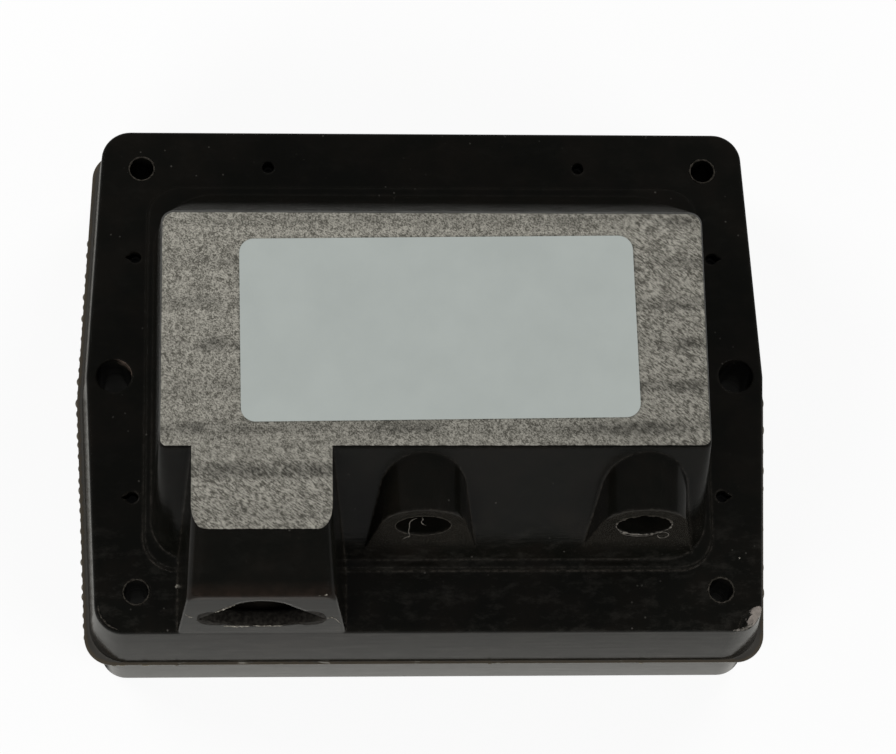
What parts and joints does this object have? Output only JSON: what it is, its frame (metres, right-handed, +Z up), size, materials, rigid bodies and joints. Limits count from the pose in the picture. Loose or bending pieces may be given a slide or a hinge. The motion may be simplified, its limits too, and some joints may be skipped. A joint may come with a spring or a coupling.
{
  "type": "ignition transformer",
  "caption": "Potted ignition transformer: dark moulded block on a screw-down flange, with high-voltage outlet towers and a hooded mains entry.",
  "frame": {"origin": "centre of the underside, on the plane that the housing's rim stands on", "axes": "+X along the length, towards the right-hand outlet tower; +Y away from the outlets and the hood; +Z up, through the top face"},
  "size_m": [0.1354, 0.105, 0.0591],
  "materials": {
    "moulding": "thermoset moulding, satin gloss; top face ground to a grey speckle",
    "label_foil": "pale blue-grey foil, satin",
    "filling_resin": "cast resin, slightly uneven",
    "core_steel": "stacked laminations",
    "strap_steel": "cold-rolled band",
    "pressboard": "pressboard",
    "bobbin_nylon": "natural nylon",
    "enamelled_copper": "enamelled wire turns",
    "coil_tape": "polyester film tape",
    "contact_brass": "bright brass",
    "carrier_moulding": "moulded insulation",
    "hv_lead_insulation": "silicone",
    "live_insulation": "brown",
    "neutral_insulation": "blue",
    "earth_insulation": "green"
  },
  "bodies": {
    "root": {"core_e_stack": "core_steel", "core_i_stack": "core_steel", "core_strap": "strap_steel", "earth_blade": "contact_brass", "earth_lead": "earth_insulation", "housing": "moulding", "hv_contact_left": "contact_brass", "hv_contact_right": "contact_brass", "hv_lead_left": "hv_lead_insulation", "hv_lead_right": "hv_lead_insulation", "live_blade": "contact_brass", "live_lead": "live_insulation", "neutral_blade": "contact_brass", "neutral_lead": "neutral_insulation", "potting_compound": "filling_resin", "primary_bobbin": "bobbin_nylon", "primary_tape": "coil_tape", "primary_winding": "enamelled_copper", "rating_label": "label_foil", "secondary_bobbin_left": "bobbin_nylon", "secondary_bobbin_right": "bobbin_nylon", "secondary_tape_left": "coil_tape", "secondary_tape_right": "coil_tape", "secondary_winding_left": "enamelled_copper", "secondary_winding_right": "enamelled_copper", "shunt_gap_papers": "pressboard", "shunt_stack_back": "core_steel", "shunt_stack_front": "core_steel", "terminal_carrier": "carrier_moulding"}
  },
  "joints": []
}
